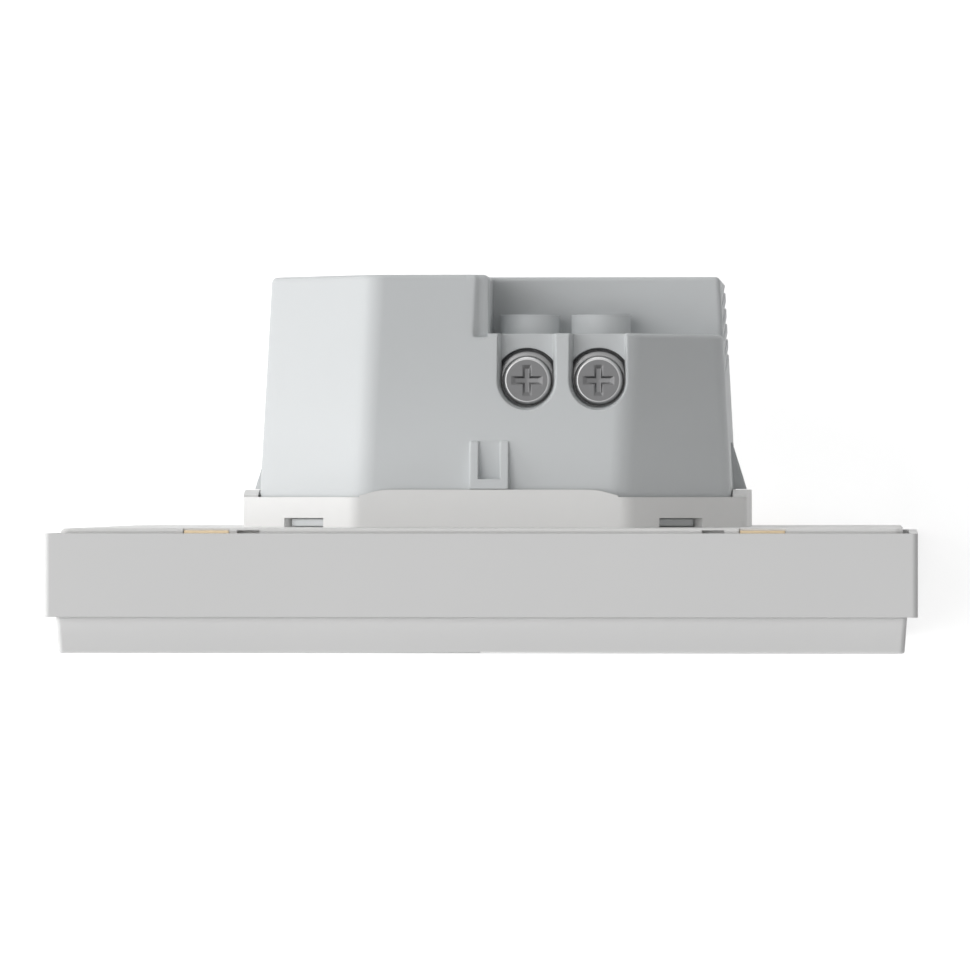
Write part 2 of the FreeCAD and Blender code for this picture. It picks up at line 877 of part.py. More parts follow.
def build_board_header():
    """Six pins in two strips that join the control board to the power board."""
    piece = Piece("board_header")
    strip = cell("header_block")
    reach = cell("header_pitch") * 3
    strip_box = box(header_x - strip, header_x + strip, -reach, reach)
    piece.add("Y", board_back, board_back + strip * 2, strip_box)
    piece.add("Y", power_front - strip * 2, power_front, strip_box)
    piece.add("Y", board_y, power_back, *at_header_pins(cell("header_pin")))


def build_stack():
    """The spacers and screws that hold both boards in the housing."""
    spacers = Piece("board_spacers")
    outer = cell("spacer_flat")
    bore = cell("stack_radius") + cell("screw_fit")
    nuts = [hexagon(stack_side * across, stack_side * up, outer) for across, up in STACK_CORNERS]
    spacers.add("Y", board_back, power_front, *nuts)
    spacers.cut("Y", board_back, power_front, *at_stack(bore))
    screws = Piece("board_screws")
    head_y = board_y - cell("stack_head_tall")
    heads = [hexagon(stack_side * across, stack_side * up, cell("stack_head"))
             for across, up in STACK_CORNERS]
    screws.add("Y", head_y, board_y, *heads)
    screws.add("Y", board_y, power_back + cell("stack_bite"), *at_stack(cell("stack_radius")))


def build_power_board():
    """The board in the housing, seated on the terminal tower and the posts."""
    piece = Piece("power_board")
    piece.add("Y", power_front, power_back, eight(power_half))
    piece.cut("Y", power_front, power_back, *at_stack(cell("stack_radius") + cell("screw_fit")))
    piece.cut("Y", power_front, power_back, *at_header_pins(cell("header_pin") + cell("screw_fit")))
    for place in TERMINALS.values():
        half_wide = cell("leg_wide") / 2 + cell("block_fit")
        low = block_low - cell("block_fit")
        high = block_low + cell("leg_thick") + cell("block_fit")
        piece.cut("Y", power_front, power_back, box(place - half_wide, place + half_wide, low, high))


def centred(across, up, wide, high):
    """A rectangle about a point."""
    return box(across - wide / 2, across + wide / 2, up - high / 2, up + high / 2)


def build_relay():
    """The relay that switches the load."""
    piece = Piece("relay")
    top = power_back + cell("relay_tall")
    piece.add("Y", power_back, top,
              centred(as_size(0), cell("relay_in") - board_half, cell("relay_wide"),
                      cell("relay_high")))
    piece.bevel(cell("relay_edge"), lambda edge: not on_level(edge, power_back.value))


def build_transformer():
    """The small supply transformer: foot, core and winding."""
    piece = Piece("transformer")
    across = cell("coil_across")
    up = -cell("coil_down")
    foot_y = power_back + cell("coil_base")
    top = power_back + cell("coil_tall")
    gap = cell("winding_gap")
    piece.add("Y", power_back, foot_y, centred(across, up, cell("coil_wide"), cell("coil_high")))
    piece.add("Y", foot_y, top, centred(across, up, cell("coil_wide"), cell("core_high")))
    piece.add("Y", foot_y + gap, top - gap,
              centred(across, up, cell("winding_wide"), cell("coil_high") - gap / 2))


def build_bulk_capacitor():
    """The round capacitor."""
    piece = Piece("bulk_capacitor")
    place = (-cell("bulk_left"), cell("bulk_up"))
    piece.add("Y", power_back, power_back + cell("bulk_tall"), circle(*place, cell("bulk_radius")))


def build_filter_capacitor():
    """The box-shaped mains capacitor."""
    piece = Piece("filter_capacitor")
    piece.add("Y", power_back, power_back + cell("filter_tall"),
              centred(cell("filter_in") - board_half, as_size(0), cell("filter_wide"),
                      cell("filter_high")))
    piece.bevel(cell("relay_edge"), lambda edge: along(edge, AXIS_Y))


def build_varistor():
    """The round disc that stands on its edge."""
    piece = Piece("varistor")
    radius = cell("disc_radius")
    half = cell("disc_thick") / 2
    up = board_half - cell("disc_in")
    piece.add("Z", up - half, up + half, circle(-cell("disc_left"), power_back + radius, radius))


def build_fuse_resistor():
    """The standing fuse resistor."""
    piece = Piece("fuse_resistor")
    place = (-cell("fuse_left"), board_half - cell("fuse_in"))
    piece.add("Y", power_back, power_back + cell("fuse_tall"), circle(*place, cell("fuse_radius")))


def build_rectifier():
    """The flat bridge rectifier on the front of the power board."""
    piece = Piece("bridge_rectifier")
    piece.add("Y", power_front - cell("bridge_tall"), power_front,
              centred(cell("bridge_across"), cell("bridge_up"), cell("bridge_wide"),
                      cell("bridge_high")))


def build_mounting_base():
    """The wall plate with its rim, the eight-sided collar and the wavy rim of the collar."""
    piece = Piece("mounting_base")
    piece.add("Y", -cell("base_rim"), 0, square(base_half))
    piece.round(cell("base_corner"), lambda edge: along(edge, AXIS_Y))
    piece.bevel(cell("base_bevel"), lambda edge: on_level(edge, 0))
    piece.cut("Y", -cell("base_rim"), base_front, square(base_half - cell("base_rim_wall")))
    piece.add("Y", base_front, cell("collar_tall"), eight(collar_outer))
    piece.round(cell("collar_round"), lambda edge: along(edge, AXIS_Y) and edge.BoundBox.YMax > 1)
    piece.cut("Y", base_front, cell("collar_tall"), eight(collar_inner))
    cut_collar_waves(piece)
    piece.round(cell("wave_round"), is_wave_edge)
    cut_collar_windows(piece)
    fixing = cell("fixing_pitch") / 2
    holes = [circle(fixing * side, 0, cell("fixing_radius")) for side in SIDES]
    piece.cut("Y", base_front, 0, *holes)
    piece.cut("Y", base_front, 0, *at_cover_screws(cell("screw_radius") + cell("screw_fit")))
    cut_spring_seats(piece)
    cut_pry_notches(piece)


def cut_collar_waves(piece):
    """Lower the collar at its four slanted sides, with a soft step at each end of a flat."""
    top = cell("collar_tall")
    low = top - cell("collar_dip")
    start = cell("wave_start")
    end = cell("wave_end")
    past = collar_outer + 1
    for side in SIDES:
        step = polygon((start * side, top), (end * side, low), (past * side, low), (past * side, top))
        swapped = polygon((top, start * side), (low, end * side), (low, past * side), (top, past * side))
        for z_low, z_high in ((cell("house_flat"), past), (-past, -cell("house_flat"))):
            piece.cut("Z", z_low, z_high, step)
            piece.cut("X", z_low, z_high, swapped)


def is_wave_edge(edge):
    """Whether an edge is the top or the foot of a step in the collar's rim."""
    if edge.Length > cell("collar_wall").value * 1.5:
        return False
    middle = edge.CenterOfMass
    top = cell("collar_tall").value
    levels = ((top, cell("wave_start").value), (top - cell("collar_dip").value,
                                                cell("wave_end").value))
    for level, place in levels:
        near = min(abs(abs(middle.x) - place), abs(abs(middle.z) - place))
        if abs(middle.y - level) < 0.01 and near < 0.01:
            return True
    return False


def cut_collar_windows(piece):
    """A window near the foot of each slanted side of the collar."""
    near = (collar_inner + flat_at(collar_inner)) * HALF_ROOT - 1
    far = (collar_outer + flat_at(collar_outer)) * HALF_ROOT + 1
    half = cell("window_wide") / 2
    loops = [diagonal(x_side, z_side, near, far, half) for x_side, z_side in CORNERS]
    piece.cut("Y", cell("window_low"), cell("window_low") + cell("window_tall"), *loops)


def cut_spring_seats(piece):
    """A shallow seat in the top and bottom edge for each spring."""
    depth = cell("spring_thick") + cell("spring_fit")
    half = cell("spring_wide") / 2 + cell("spring_fit")
    for place in (-cell("spring_left"), cell("spring_right")):
        for z_side in SIDES:
            low, high = ordered((base_half - depth) * z_side, (base_half + 1) * z_side)
            piece.cut("Y", -cell("base_rim"), 0, box(place - half, place + half, low, high))


def cut_pry_notches(piece):
    """Small blind notches in the top and bottom edge, where a blade lifts the frame."""
    high_y = -cell("notch_skin")
    low_y = high_y - cell("notch_tall")
    half = cell("notch_wide") / 2
    for x_side in SIDES:
        place = cell("notch_place") * x_side
        for z_side in SIDES:
            low, high = ordered((base_half - cell("notch_deep")) * z_side, (base_half + 1) * z_side)
            piece.cut("Y", low_y, high_y, box(place - half, place + half, low, high))


def build_bezel_springs():
    """Four bent strips on the edge of the base, whose crowns hold the frame."""
    piece = Piece("bezel_springs")
    half = cell("spring_wide") / 2
    start = -cell("spring_start")
    end = -cell("spring_end")
    middle = (start + end) / 2
    bend = (start - end) / 4
    foot = base_half - cell("spring_thick") - cell("spring_fit") / 2
    crown = foot + cell("spring_crown")
    thick = cell("spring_thick")
    for place in (-cell("spring_left"), cell("spring_right")):
        for z_side in SIDES:
            strip = polygon(
                (start, foot * z_side), (middle + bend, foot * z_side), (middle, crown * z_side),
                (middle - bend, foot * z_side), (end, foot * z_side),
                (end, (foot + thick) * z_side), (middle - bend, (foot + thick) * z_side),
                (middle, (crown + thick) * z_side), (middle + bend, (foot + thick) * z_side),
                (start, (foot + thick) * z_side),
            )
            piece.add("X", place - half, place + half, strip)


def build_rear_housing():
    """The eight-sided cup with its terminal bay, screw pockets, wire entries and snaps."""
    piece = Piece("rear_housing")
    half = cell("house_half")
    lip_y = base_front - cell("lip_thick")
    piece.add("Y", lip_y, snap_start, eight(half))
    piece.loft(snap_start, eight(half), cell("house_deep"), back_outline())
    piece.round(cell("house_round"), is_corner_run)
    cut_bay(piece)
    back = cell("house_deep").value
    piece.round(cell("house_edge"), lambda edge: on_level(edge, back))
    cut_grip(piece)
    piece.add("Y", lip_y, base_front, eight(half + cell("lip_wide")))
    hollow_housing(piece)
    for side_x, side_z in STACK_CORNERS:
        piece.add("Y", power_back, back_wall,
                  hexagon(stack_side * side_x, stack_side * side_z, cell("post_flat")))
    piece.cut("Y", power_back, power_back + cell("stack_bite"),
              *at_stack(cell("stack_radius") + cell("screw_fit")))
    for place in TERMINALS.values():
        cut_terminal(piece, place)
    add_snaps(piece)
    add_window_tabs(piece)


def back_outline():
    """The octagon of the back: the slanted sides lean in more, the one at the bay stays upright."""
    reach = cell("house_deep") - snap_start
    half = cell("house_half") - reach * draft_slope
    lean = reach * tangent(cell("corner_draft")) / HALF_ROOT
    flat = cell("house_half") + cell("house_flat") - lean - half
    return octagon(half, flat, cell("house_half") + cell("bay_flat") - half)


def is_corner_run(edge):
    """Whether an edge is a long run from front to back."""
    return edge.BoundBox.YLength > 5 and along(edge, AXIS_Y)


def cut_bay(piece):
    """Open the terminal bay at the top right of the housing's back."""
    past = cell("house_half") + 3
    back = cell("house_deep")
    piece.cut("Y", bay_y, back, box(bay_x, past, bay_z, past))
    piece.round(cell("bay_edge"), is_bay_edge)
    rail_x = bay_x - cell("rail_wide")
    rail_z = cell("house_half") - (back - snap_start) * draft_slope - cell("rail_deep")
    flank = cell("rail_flank")
    piece.cut(
        "Y", bay_y - cell("rail_edge"), back,
        polygon(
            (rail_x - flank, past), (rail_x - flank, rail_z + flank), (rail_x, rail_z),
            (bay_x, rail_z - cell("rail_fall")), (bay_x, past),
        ),
    )


def is_bay_edge(edge):
    """Whether an edge is the outer rim of the ledge or the outer end of the bay's back wall."""
    middle = edge.CenterOfMass
    if on_level(edge, bay_y.value):
        return abs(middle.x - bay_x.value) > 0.3 and abs(middle.z - bay_z.value) > 0.9
    return along(edge, AXIS_Y) and middle.x > 20 and abs(middle.z - bay_z.value) < 0.1


def cut_grip(piece):
    """Slanted grip grooves in the flat side beside the bay."""
    past = cell("house_half") + 1
    rise = cell("grip_rise")
    wide = cell("grip_wide")
    for step in range(7):
        start = cell("grip_start") + cell("grip_pitch") * step
        middle = start + (rise + wide) / 2
        floor = cell("house_half") - (middle - snap_start) * draft_slope - cell("grip_deep")
        piece.cut(
            "X", floor, past,
            polygon(
                (start, cell("grip_reach")), (start + wide, cell("grip_reach")),
                (start + wide + rise, -cell("grip_back")), (start + rise, -cell("grip_back")),
            ),
        )


def hollow_housing(piece):
    """Hollow the cup: whole up to the terminal tower, then beside it."""
    inner = cell("house_half") - cell("house_wall")
    lip_y = base_front - cell("lip_thick")
    flat = flat_at(inner)
    piece.cut("Y", lip_y, snap_start, eight(inner))
    piece.taper_cut(snap_start, power_back - snap_start, cell("house_draft"), eight(inner))
    deep = inner - (power_back - snap_start) * draft_slope
    deep_flat = flat_at(deep)
    reach = back_wall - power_back
    piece.taper_cut(
        power_back, reach, cell("house_draft"),
        polygon(
            (deep, -deep_flat), (deep, tower_z), (tower_x, tower_z), (tower_x, deep),
            (-deep_flat, deep), (-deep, deep_flat), (-deep, -deep_flat),
            (-deep_flat, -deep), (deep_flat, -deep),
        ),
    )


def cut_terminal(piece, place):
    """One terminal: chamber for the block, pocket over the screw, and the wire entry."""
    half = cell("block_wide") / 2 + cell("block_fit")
    low = block_low - cell("block_fit")
    high = block_high + cell("block_fit")
    piece.add("Y", bay_y, bay_y + cell("entry_tall"), circle(place, wire_z, cell("entry_rim")))
    piece.cut("Y", power_back, block_end + cell("block_fit"), box(place - half, place + half, low, high))
    piece.cut("Y", block_end, bay_y + cell("entry_tall"),
              circle(place, wire_z, cell("entry_radius")))
    deep = cell("terminal_deep")
    piece.cut("Z", block_high, pocket_floor, circle(place, deep, cell("pocket_rim")))
    piece.flare_cut(pocket_floor, cell("house_half") + 1, cell("pocket_draft"),
                    u_shape(place, deep, cell("pocket_half"), bay_y + cell("entry_tall")))


def snap_outline(out, sign):
    """Side view of a snap: a ramp that rises towards the front, then the catch face."""
    root = cell("house_half") - cell("house_wall") / 2
    tip = cell("house_half") + cell("snap_out")
    tail = snap_start + cell("snap_deep")
    points = [(snap_start, root), (snap_start, tip), (tail, cell("house_half") - 0.15), (tail, root)]
    if out == "Z":
        return polygon(*[(deep, away * sign) for deep, away in points])
    return polygon(*[(away * sign, deep) for deep, away in points])


def add_snaps(piece):
    """The four ramped snaps over the collar's rim, each hollowed from the outside."""
    half = cell("snap_wide") / 2
    slim = half - cell("snap_rib")
    sunk = cell("house_half") - cell("snap_sink")
    past = cell("house_half") + cell("snap_out") + 1
    foot = snap_start + cell("snap_foot")
    tail = snap_start + cell("snap_deep")
    for sign in SIDES:
        low, high = ordered(sunk * sign, past * sign)
        piece.add("X", -half, half, snap_outline("Z", sign))
        piece.cut("Z", low, high, box(-slim, slim, foot, tail))
        piece.add("Z", -half, half, snap_outline("X", sign))
        piece.cut("X", low, high, box(foot, tail, -slim, slim))


def add_window_tabs(piece):
    """Tabs of the housing that stand in the collar's windows."""
    near = (cell("house_half") + flat_at(cell("house_half"))) * HALF_ROOT - 0.5
    far = near + 0.5 + cell("collar_fit") + cell("collar_wall") / 2
    half = cell("window_wide") / 2 - cell("window_fit")
    loops = [diagonal(x_side, z_side, near, far, half) for x_side, z_side in CORNERS]
    low = cell("window_low") + cell("window_play")
    piece.add("Y", low, low + cell("window_tall") - cell("window_play") * 2, *loops)


def build_terminal(name, place):
    """One screw terminal: block with its leg, captive saddle and screw."""
    half = cell("block_wide") / 2
    deep = cell("terminal_deep")
    block = Piece("terminal_block_" + name)
    block.add("Y", block_start, block_end,
              box(place - half, place + half, block_low, block_high))
    wire = cell("wire_half")
    block.cut("Y", block_start, block_end,
              box(place - wire, place + wire, wire_low, wire_high))
    block.cut("Z", wire_high, block_high,
              circle(place, deep, cell("shank_radius") + cell("screw_fit")))
    leg = cell("leg_wide") / 2
    block.add("Y", power_front - cell("leg_past"), block_start + cell("leg_thick"),
              box(place - leg, place + leg, block_low, block_low + cell("leg_thick")))
    saddle = Piece("clamp_saddle_" + name)
    wide = wire - cell("screw_fit") * 2
    long_half = cell("saddle_long") / 2
    saddle.add("Z", saddle_low, saddle_high, box(place - wide, place + wide, deep - long_half,
                                                 deep + long_half))
    saddle.cut("Z", saddle_low, saddle_high, circle(place, deep, cell("tip_radius") + cell("screw_fit")))
    screw = Piece("terminal_screw_" + name)
    screw.add("Z", head_low, head_high, circle(place, deep, cell("head_radius")))
    top = head_high.value
    screw.bevel(cell("head_chamfer"), lambda edge: abs(edge.BoundBox.ZMin - top) < 0.01)
    screw.add("Z", washer_low, head_low, circle(place, deep, cell("head_washer")))
    screw.add("Z", saddle_high + cell("screw_fit"), washer_low, circle(place, deep, cell("shank_radius")))
    screw.add("Z", saddle_low, saddle_high + cell("screw_fit"), circle(place, deep, cell("tip_radius")))
    arm = cell("cross_long") / 2
    slim = cell("cross_wide") / 2
    cross_low = head_high - cell("cross_deep")
    screw.cut("Z", cross_low, head_high, box(place - arm, place + arm, deep - slim, deep + slim))
    screw.cut("Z", cross_low, head_high, box(place - slim, place + slim, deep - arm, deep + arm))


build_bezel_frame()
build_rocker_key()
build_light_pipe()
build_front_cover()
build_cover_screws()
build_key_plunger()
build_tact_switch()
build_tact_stem()
build_control_board()
build_status_led()
build_radio()
build_board_header()
build_stack()
build_power_board()
build_relay()
build_transformer()
build_bulk_capacitor()
build_filter_capacitor()
build_varistor()
build_fuse_resistor()
build_rectifier()
build_mounting_base()
build_bezel_springs()
build_rear_housing()
for terminal_name, terminal_place in TERMINALS.items():
    build_terminal(terminal_name, terminal_place)

doc.recompute()
bodies = [item for item in doc.Objects if item.TypeId == "PartDesign::Body"]
for item in doc.Objects:
    if "Invalid" in item.State or "Error" in item.State:
        raise ValueError("%s is in state %s" % (item.Label, item.State))
for item in bodies:
    if item.Shape.isNull() or not item.Shape.isValid():
        raise ValueError(item.Label + " has no valid shape")

os.makedirs("parts", exist_ok=True)
for item in bodies:
    item.Shape.exportStep(os.path.join("parts", item.Label + ".step"))
    print("%-24s %2d solids %10.2f mm3" % (item.Label, len(item.Shape.Solids), item.Shape.Volume))
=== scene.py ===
import json
import math

import bpy
import numpy as np
from mathutils import Matrix, Vector


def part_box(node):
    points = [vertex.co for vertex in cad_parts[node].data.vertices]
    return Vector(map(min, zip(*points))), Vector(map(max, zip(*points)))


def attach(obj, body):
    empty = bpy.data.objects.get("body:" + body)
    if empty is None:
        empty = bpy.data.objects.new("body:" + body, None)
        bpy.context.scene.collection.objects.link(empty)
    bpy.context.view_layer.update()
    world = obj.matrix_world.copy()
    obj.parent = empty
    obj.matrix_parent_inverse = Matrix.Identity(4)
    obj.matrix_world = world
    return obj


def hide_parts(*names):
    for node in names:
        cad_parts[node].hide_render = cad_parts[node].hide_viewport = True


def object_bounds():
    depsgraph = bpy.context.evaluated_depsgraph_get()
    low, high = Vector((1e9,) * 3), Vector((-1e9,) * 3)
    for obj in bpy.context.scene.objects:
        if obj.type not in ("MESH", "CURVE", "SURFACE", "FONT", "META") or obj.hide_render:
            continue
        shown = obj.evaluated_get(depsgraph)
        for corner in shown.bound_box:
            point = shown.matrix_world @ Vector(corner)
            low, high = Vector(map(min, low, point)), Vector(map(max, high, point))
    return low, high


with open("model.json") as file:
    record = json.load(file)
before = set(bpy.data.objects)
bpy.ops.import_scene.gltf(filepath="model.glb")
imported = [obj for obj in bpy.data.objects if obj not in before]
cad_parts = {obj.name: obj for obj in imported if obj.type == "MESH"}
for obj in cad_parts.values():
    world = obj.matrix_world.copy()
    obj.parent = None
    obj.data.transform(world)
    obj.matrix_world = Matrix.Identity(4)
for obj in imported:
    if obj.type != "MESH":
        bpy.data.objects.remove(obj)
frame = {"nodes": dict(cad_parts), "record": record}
CAD_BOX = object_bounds()

# Flush-mounted smart light switch: white frame and rocker key, off-white base, grey rear housing.
# Frame: +X right, +Z up the wall, +Y into the wall, the key faces -Y. Lengths are metres.

MM = 0.001

# Scales of the finishes' patterns, in cells for each metre.
DRIFT_SCALE = 45.0
GRAIN_SCALE = 6500.0
GLOSS_SCALE = 2400.0
CLOUD_SCALE = 900.0
METAL_GRAIN_SCALE = 9000.0
METAL_GLOSS_SCALE = 2500.0
LANE_SCALE = 220.0
FLOW_SCALE = 400.0

# Part of a pattern's range, from 0 to 1, over which a tint or a gloss changes.
PATTERN_LOW = 0.3
PATTERN_HIGH = 0.7

# How far the pattern takes the roughness to each side of its middle.
PLASTIC_GLOSS_SPREAD = 0.04
METAL_GLOSS_SPREAD = 0.06

# Depths of the metals' grain, and how much plating softens an edge.
PLATED_GRAIN = 0.0015 * MM
TURNED_GRAIN = 0.0012 * MM
PLATED_EDGE = 0.06 * MM

# Range of roughness of the turned steel and of the clear plastic, and the clear plastic's index.
TURNED_GLOSS = (0.34, 0.44)
CLEAR_GLOSS = (0.08, 0.16)
CLEAR_INDEX = 1.49

# Cosine between rounded and plain normal where the painted highlight on an edge starts, and where it is
# brightest.
EDGE_STARTS = 0.995
EDGE_FULL = 0.93

# The rail beside the terminal bay, whose edges are rounder than the rest of the housing's.
RAIL_MIDDLE = (-1.475 * MM, 21.75 * MM, 23.5 * MM)
RAIL_HALF = (0.95 * MM, 4.25 * MM, 1.6 * MM)
RAIL_ROUND = 0.75 * MM
RAIL_FADE = 0.9


class Finish:
    """A procedural finish that is built up node by node on the object's own coordinates."""

    def __init__(self, name):
        self.material = bpy.data.materials.new(name)
        self.material.use_nodes = True
        self.tree = self.material.node_tree
        self.tree.nodes.clear()
        self.output = self.add("ShaderNodeOutputMaterial")
        self.shader = self.add("ShaderNodeBsdfPrincipled")
        self.join(self.shader, "BSDF", self.output, "Surface")
        self.place = self.add("ShaderNodeTexCoord")
        self.height = None
        self.edge = None

    def add(self, kind, **values):
        """A node with its properties and its unlinked sockets set."""
        node = self.tree.nodes.new(kind)
        for name, value in values.items():
            if hasattr(node, name):
                setattr(node, name, value)
            else:
                node.inputs[name.replace("_", " ")].default_value = value
        return node

    def join(self, start, out_name, end, in_name):
        """A link between two sockets given by name or number."""
        self.tree.links.new(start.outputs[out_name], end.inputs[in_name])
        return end

    def set(self, **values):
        """Constants straight on the shader's own sockets."""
        for name, value in values.items():
            self.shader.inputs[name.replace("_", " ")].default_value = value
        return self

    def noise(self, scale, detail=2.0, roughness=0.5):
        """Noise in the object's space, its scale in cells for each metre."""
        node = self.add("ShaderNodeTexNoise", Scale=scale, Detail=detail, Roughness=roughness)
        return self.join(self.place, "Object", node, "Vector")

    def vary(self, socket, source, low, high, out_name="Fac"):
        """Drive a number of the shader from a pattern, between two values."""
        span = self.add("ShaderNodeMapRange", From_Min=PATTERN_LOW, From_Max=PATTERN_HIGH,
                        To_Min=low, To_Max=high)
        self.join(source, out_name, span, "Value")
        self.join(span, "Result", self.shader, socket)
        return self

    def tint(self, source, first, second, out_name="Fac"):
        """Mix the base colour between two colours by a pattern."""
        ramp = self.add("ShaderNodeValToRGB")
        stops = ramp.color_ramp.elements
        stops[0].position, stops[0].color = PATTERN_LOW, (*first, 1)
        stops[1].position, stops[1].color = PATTERN_HIGH, (*second, 1)
        self.join(source, out_name, ramp, "Fac")
        self.join(ramp, "Color", self.shader, "Base Color")
        return self

    def relief(self, source, depth, out_name="Fac"):
        """Stack a bump of the given depth in metres on the normal."""
        bump = self.add("ShaderNodeBump", Strength=1.0, Distance=depth)
        self.join(source, out_name, bump, "Height")
        if self.height is not None:
            self.join(self.height, "Normal", bump, "Normal")
        self.height = bump
        self.join(bump, "Normal", self.shader, "Normal")
        return self

    def soften(self, radius):
        """Round every sharp edge a little in the shading."""
        self.edge = self.add("ShaderNodeBevel", samples=4, Radius=radius)
        self.height = self.edge
        self.join(self.edge, "Normal", self.shader, "Normal")
        return self

    def rounder_in(self, centre, half, radius, wider):
        """Round the edges inside a box by a wider radius, which falls back near the box's sides.

        A point is inside where the greatest part of |p - centre| / half is under 1.
        """
        shift = self.add("ShaderNodeVectorMath", operation="SUBTRACT")
        shift.inputs[1].default_value = centre
        self.join(self.place, "Object", shift, 0)
        share = self.add("ShaderNodeVectorMath", operation="DIVIDE")
        share.inputs[1].default_value = half
        self.join(shift, 0, share, 0)
        size = self.add("ShaderNodeVectorMath", operation="ABSOLUTE")
        self.join(share, 0, size, 0)
        parts = self.join(size, 0, self.add("ShaderNodeSeparateXYZ"), 0)
        first = self.add("ShaderNodeMath", operation="MAXIMUM")
        self.join(parts, 0, first, 0)
        self.join(parts, 1, first, 1)
        most = self.add("ShaderNodeMath", operation="MAXIMUM")
        self.join(first, 0, most, 0)
        self.join(parts, 2, most, 1)
        span = self.add("ShaderNodeMapRange", From_Min=RAIL_FADE, From_Max=1.0,
                        To_Min=wider, To_Max=radius)
        self.join(most, 0, span, "Value")
        self.join(span, "Result", self.edge, "Radius")
        return self

    def paint_edge_highlights(self, gain):
        """Paint a highlight on the edges: multiply the base colour by a gain where the rounded normal
        leaves the plain one.
        """
        plain = self.add("ShaderNodeNewGeometry")
        likeness = self.add("ShaderNodeVectorMath", operation="DOT_PRODUCT")
        self.join(self.edge, "Normal", likeness, 0)
        self.join(plain, "Normal", likeness, 1)
        span = self.add("ShaderNodeMapRange", From_Min=EDGE_STARTS, From_Max=EDGE_FULL,
                        To_Min=1.0, To_Max=gain)
        self.join(likeness, "Value", span, "Value")
        lighter = self.add("ShaderNodeHueSaturation")
        self.join(span, "Result", lighter, "Value")
        colour = self.shader.inputs["Base Color"].links[0].from_socket
        self.tree.links.new(colour, lighter.inputs["Color"])
        self.join(lighter, "Color", self.shader, "Base Color")
        return self


def shade(colour, change):
    """A colour made lighter or darker by a share: each part times 1 + change, at most 1."""
    return tuple(min(1.0, part * (1 + change)) for part in colour)


def moulded(name, colour, gloss, grain, edge=0.12 * MM, painted_light=1.0, rail=False):
    """Moulded plastic: a spark-eroded grain, a faint drift of tone, edges a little round, with a
    painted highlight on them.
    """
    finish = Finish(name).set(Specular_IOR_Level=0.5)
    finish.tint(finish.noise(DRIFT_SCALE, detail=3.0), shade(colour, -0.012), shade(colour, 0.012))
    finish.soften(edge)
    if rail:
        finish.rounder_in(RAIL_MIDDLE, RAIL_HALF, edge, RAIL_ROUND)
    # A gain over 1 paints a highlight on the edges by making their base colour lighter.
    if painted_light > 1:
        finish.paint_edge_highlights(painted_light)
    finish.relief(finish.noise(GRAIN_SCALE, detail=2.0, roughness=0.6), grain)
    finish.vary("Roughness", finish.noise(GLOSS_SCALE, detail=2.0),
                gloss - PLASTIC_GLOSS_SPREAD, gloss + PLASTIC_GLOSS_SPREAD)
    return finish.material


def plated(name, colour, gloss):
    """Plated steel: fine cloudy plating over a satin metal."""
    finish = Finish(name).set(Metallic=1.0)
    finish.tint(finish.noise(CLOUD_SCALE, detail=4.0), shade(colour, -0.08), shade(colour, 0.08))
    finish.soften(PLATED_EDGE)
    finish.relief(finish.noise(METAL_GRAIN_SCALE, detail=3.0), PLATED_GRAIN)
    finish.vary("Roughness", finish.noise(METAL_GLOSS_SCALE, detail=3.0),
                gloss - METAL_GLOSS_SPREAD, gloss + METAL_GLOSS_SPREAD)
    return finish.material


def turned_steel(name, colour, highlight_colour):
    """Dark plated steel, painted lighter where the mesh's point attribute is 1: a painted highlight on
    the screws' rims and painted light on their sides and washers.
    """
    finish = Finish(name).set(Metallic=1.0)
    painted_light = finish.add("ShaderNodeAttribute", attribute_name="highlight_share")
    finish.tint(painted_light, colour, highlight_colour)
    finish.relief(finish.noise(METAL_GRAIN_SCALE, detail=3.0), TURNED_GRAIN)
    finish.vary("Roughness", finish.noise(METAL_GLOSS_SCALE, detail=3.0), *TURNED_GLOSS)
    return finish.material


def board_mask(name, colour):
    """Solder mask: glossy lacquer over copper that shows as slightly lighter lanes."""
    finish = Finish(name).set(Specular_IOR_Level=0.5, Roughness=0.3)
    lanes = finish.add("ShaderNodeTexBrick", Scale=LANE_SCALE, Mortar_Size=0.012)
    finish.join(finish.place, "Object", lanes, "Vector")
    finish.tint(lanes, shade(colour, 0.25), shade(colour, -0.05))
    return finish.material


def clear(name, colour):
    """Clear moulded plastic with faint flow lines inside."""
    finish = Finish(name).set(Transmission_Weight=1.0, IOR=CLEAR_INDEX)
    finish.tint(finish.noise(FLOW_SCALE), shade(colour, -0.01), colour)
    finish.vary("Roughness", finish.noise(CLOUD_SCALE), *CLEAR_GLOSS)
    return finish.material


